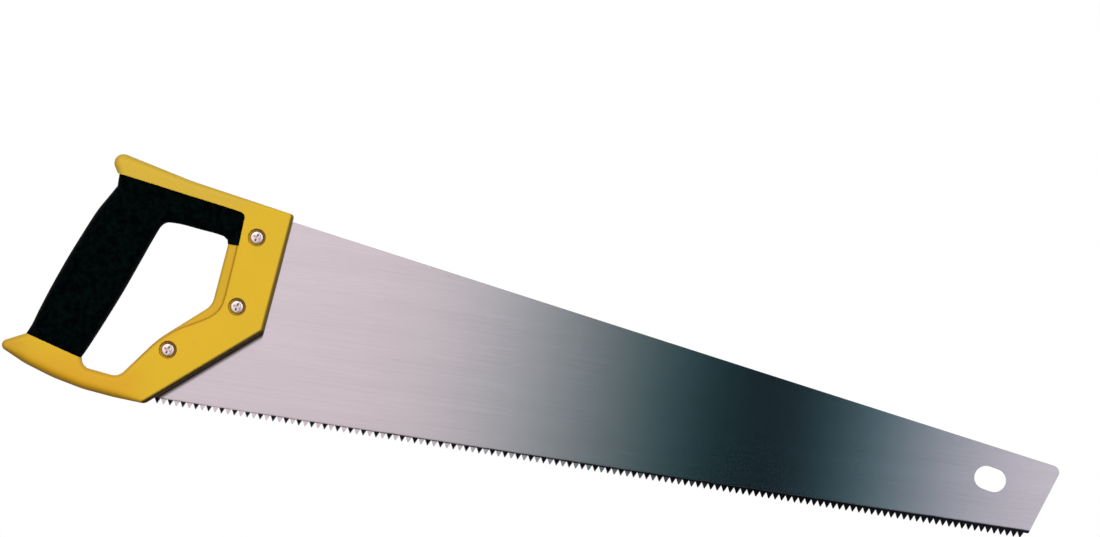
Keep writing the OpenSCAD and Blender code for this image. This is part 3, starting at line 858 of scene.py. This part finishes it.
def plated(name, light, dark, rough, upper_recess_shade):
    """Plated steel of the fasteners: drawn texture, and painted shade low in the recess and round the rim."""
    m = Nodes(name)
    x, y, z = m.xyz()
    m.set(Metallic=1.0, IOR=2.2)
    across = m.math("SQRT", m.math("ADD", m.math("MULTIPLY", x, x), m.math("MULTIPLY", z, z)))
    tarnish = m.noise(900, 5, 0.65)
    base = m.mix(m.span(tarnish, 0.35, 0.72), light, dark)
    # painted shade round the rim, where the head meets the counterbore
    painted_shade = m.span(across, 0.00360, 0.00375)
    base = m.mix(m.math("MULTIPLY", painted_shade, 0.7), base, (0.20, 0.13, 0.09, 1))
    # painted shade in the recess, darkest in its lower arm
    deep = m.math("MULTIPLY", m.span(m.math("ABSOLUTE", y), 0.0097, 0.0094),
                  m.span(across, 0.0026, 0.0022))
    lower_arm_shade = m.span(z, -0.0004, -0.0012, upper_recess_shade, 0.92)
    base = m.mix(m.math("MULTIPLY", deep, lower_arm_shade), base, (0.05, 0.032, 0.022, 1))
    m.link(base, "Base Color")
    m.link(m.span(tarnish, 0.3, 0.7, rough - 0.06, rough + 0.08, smooth=False), "Roughness")
    m.bump((m.noise(2600, 4, 0.6), 0.25, 0.00003))
    return m.material


# ---------------------------------------------------------------- the saw
handle, grip, blade = make_handle(), make_grip(), make_blade()
yellow, black, brushed = plastic(), rubber(), steel()
screw_metal = plated("plated_steel_screw", (0.98, 0.88, 0.85, 1), (0.92, 0.81, 0.76, 1), 0.25, 0.05)
nut_metal = plated("plated_steel_nut", (0.80, 0.62, 0.50, 1), (0.56, 0.40, 0.30, 1), 0.27, 0.5)
for piece, node, slot, material in (
        (handle, "handle", "handle_plastic", yellow), (grip, "grip", "grip_rubber", black),
        (blade, "blade", "blade_steel", brushed)):
    piece.data.materials.append(material)
    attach(piece, "root")
    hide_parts(node)
# How far each head's recess is turned, in radians: screw, nut
TURNS = ((-0.33, 0.2), (-0.25, 0.9), (-0.36, 0.5))
for (where, at), turns in zip(FASTENERS.items(), TURNS):
    for kind, side, turn, material in (
            ("screw", -1, turns[0], screw_metal), ("barrel_nut", 1, turns[1], nut_metal)):
        piece = make_fastener(f"{kind}_head_{where}", at, side, turn)
        piece.data.materials.clear()
        piece.data.materials.append(material)
        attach(piece, "root")
        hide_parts(f"{kind}_{where}")


# ---------------------------------------------------------------- studio
# What the steel mirrors: a tall panel on each side, its colour against x in metres at the blade
PANEL = [(-0.35, (0.94, 0.85, 0.88)), (-0.15, (0.95, 0.85, 0.90)), (-0.095, (0.90, 0.81, 0.845)),
         (-0.055, (0.79, 0.745, 0.775)), (-0.015, (0.51, 0.545, 0.57)), (0.025, (0.245, 0.30, 0.31)),
         (0.065, (0.052, 0.122, 0.136)), (0.095, (0.002, 0.038, 0.045)), (0.125, (0.0, 0.006, 0.010)),
         (0.155, (0.0, 0.012, 0.020)), (0.182, (0.022, 0.098, 0.118)), (0.213, (0.19, 0.28, 0.33)),
         (0.245, (0.50, 0.53, 0.60)), (0.28, (0.76, 0.74, 0.82)), (0.35, (0.93, 0.90, 0.98))]
PANEL_SPAN = 0.35     # the ramp runs from minus this to plus this
PANEL_AWAY, PANEL_WIDE, PANEL_LOW, PANEL_HIGH = 1.2, 2.4, -1.8, 2.6
PANEL_POWER = 1.03
KEY_POWER = 26.5


def ramp_of(add, value, stops, low, high):
    """Colour of a ramp over a value that has been brought from low..high to 0..1."""
    node = add("ShaderNodeValToRGB", {"Fac": value})
    ramp = node.color_ramp
    while len(ramp.elements) < len(stops):
        ramp.elements.new(0.5)
    for element, (place, colour) in zip(ramp.elements, stops):
        element.position = (place - low) / (high - low)
        element.color = (*colour, 1)
    return node.outputs["Color"]


def studio():
    scene = bpy.context.scene
    scene.view_settings.view_transform = "Standard"
    world = bpy.data.worlds.new("studio")
    scene.world = world
    world.use_nodes = True
    tree = world.node_tree
    tree.nodes.clear()

    add = partial(new_node, tree)

    # even light from all round, brighter to the front and back
    way = add("ShaderNodeSeparateXYZ", {"Vector": add("ShaderNodeTexCoord").outputs["Generated"]}).outputs
    facing = add("ShaderNodeMath", {0: way["Y"]}, operation="ABSOLUTE")
    lobe = add("ShaderNodeMapRange", {"Value": facing.outputs[0], "From Min": 0.35, "From Max": 0.85,
                                      "To Min": 0.0, "To Max": 1.0}, interpolation_type="SMOOTHSTEP")
    shades = {0: lobe.outputs["Result"], 6: (0.27, 0.27, 0.28, 1), 7: (0.72, 0.71, 0.72, 1)}
    mixed = add("ShaderNodeMix", shades, data_type="RGBA")
    rise = add("ShaderNodeMapRange", {"Value": way["Z"], "From Min": -0.7, "From Max": 0.1,
                                      "To Min": 0.3, "To Max": 1.0})
    light = add("ShaderNodeBackground", {"Color": mixed.outputs[2], "Strength": rise.outputs["Result"]})
    paper = add("ShaderNodeBackground", {"Color": (1, 1, 1, 1), "Strength": 1.0})
    seen = add("ShaderNodeMixShader")
    tree.links.new(add("ShaderNodeLightPath").outputs["Is Camera Ray"], seen.inputs[0])
    tree.links.new(light.outputs[0], seen.inputs[1])
    tree.links.new(paper.outputs[0], seen.inputs[2])
    tree.links.new(seen.outputs[0], add("ShaderNodeOutputWorld").inputs[0])

    # tall glowing panels in front of the saw and behind it, seen only in reflections: pale, with a dark gap
    middle = Vector((0, 0, (cad_box[0].z + cad_box[1].z) / 2))
    reach = 1 + PANEL_AWAY / CAMERA_AWAY
    for name, side in (("panel", -1), ("panel_rear", 1)):
        glow = bpy.data.materials.new(name)
        glow.use_nodes = True
        glow.node_tree.nodes.clear()
        put = partial(new_node, glow.node_tree)
        place = put("ShaderNodeSeparateXYZ", {"Vector": put("ShaderNodeTexCoord").outputs["Object"]}).outputs
        along = put("ShaderNodeMapRange", {"Value": place["X"], "From Min": -PANEL_SPAN * reach,
                                           "From Max": PANEL_SPAN * reach}).outputs["Result"]
        tint = ramp_of(put, along, PANEL, -PANEL_SPAN, PANEL_SPAN)
        power = {"To Min": 0.5 * PANEL_POWER, "To Max": 1.5 * PANEL_POWER}
        rise = put("ShaderNodeMapRange", {"Value": place["Z"], "From Min": -0.8, "From Max": 0.8,
                                          **power}).outputs["Result"]
        shine = put("ShaderNodeEmission", {"Color": tint, "Strength": rise}).outputs[0]
        put("ShaderNodeOutputMaterial", {"Surface": shine})
        mesh = bpy.data.meshes.new(name)
        y, z0, z1 = side * PANEL_AWAY, middle.z + PANEL_LOW, middle.z + PANEL_HIGH
        mesh.from_pydata([(-PANEL_WIDE, y, z0), (PANEL_WIDE, y, z0), (PANEL_WIDE, y, z1), (-PANEL_WIDE, y, z1)],
                         [], [(0, 1, 2, 3)])
        mesh.materials.append(glow)
        panel = bpy.data.objects.new(name, mesh)
        scene.collection.objects.link(panel)
        panel.visible_camera = panel.visible_diffuse = panel.visible_shadow = False

    # key light: a soft disc above and to the left of the camera, and one behind for the other face
    for name, side in (("key", -1), ("key_rear", 1)):
        lamp = bpy.data.lights.new(name, "AREA")
        lamp.shape, lamp.size, lamp.energy = "DISK", 0.45, KEY_POWER
        lamp.color = (1.0, 0.985, 0.96)
        box = bpy.data.objects.new(name, lamp)
        scene.collection.objects.link(box)
        box.location = middle + Vector((-0.25, side * 1.95, 0.42))
        box.rotation_mode = "QUATERNION"
        box.rotation_quaternion = (box.location - middle).to_track_quat("Z", "Y")
        box.visible_camera = False
        box.visible_glossy = False

    # pale floor well below, out of reach of the saw's shadow
    mesh = bpy.data.meshes.new("floor")
    size, depth = 6.0, -0.45
    mesh.from_pydata([(-size, -size, depth), (size, -size, depth), (size, size, depth), (-size, size, depth)],
                     [], [(0, 1, 2, 3)])
    floor = bpy.data.objects.new("floor", mesh)
    scene.collection.objects.link(floor)
    pale = bpy.data.materials.new("pale_floor")
    pale.use_nodes = True
    shader = pale.node_tree.nodes["Principled BSDF"]
    shader.inputs["Base Color"].default_value = (0.9, 0.9, 0.9, 1)
    shader.inputs["Roughness"].default_value = 0.9
    shader.inputs["Emission Color"].default_value = (1, 1, 1, 1)
    shader.inputs["Emission Strength"].default_value = 1.0
    mesh.materials.append(pale)
    floor.visible_diffuse = floor.visible_glossy = False

    # camera square to the blade, turned so that the saw slopes down to the right
    camera = bpy.data.objects.new("camera", bpy.data.cameras.new("camera"))
    scene.collection.objects.link(camera)
    scene.camera = camera
    sensor = 36
    camera.data.sensor_width = sensor
    camera.data.lens = sensor * CAMERA_AWAY / FRAME_WIDTH
    camera.data.clip_start, camera.data.clip_end = 0.05, 50
    c, s = math.cos(CAMERA_ROLL), math.sin(CAMERA_ROLL)
    turned = Matrix(((c, -s, 0), (0, 0, -1), (s, c, 0)))
    stand = (part(x=CAMERA_AIM[0]), -CAMERA_AWAY, part(z=CAMERA_AIM[1]))
    camera.matrix_world = Matrix.Translation(stand) @ turned.to_4x4()


studio()
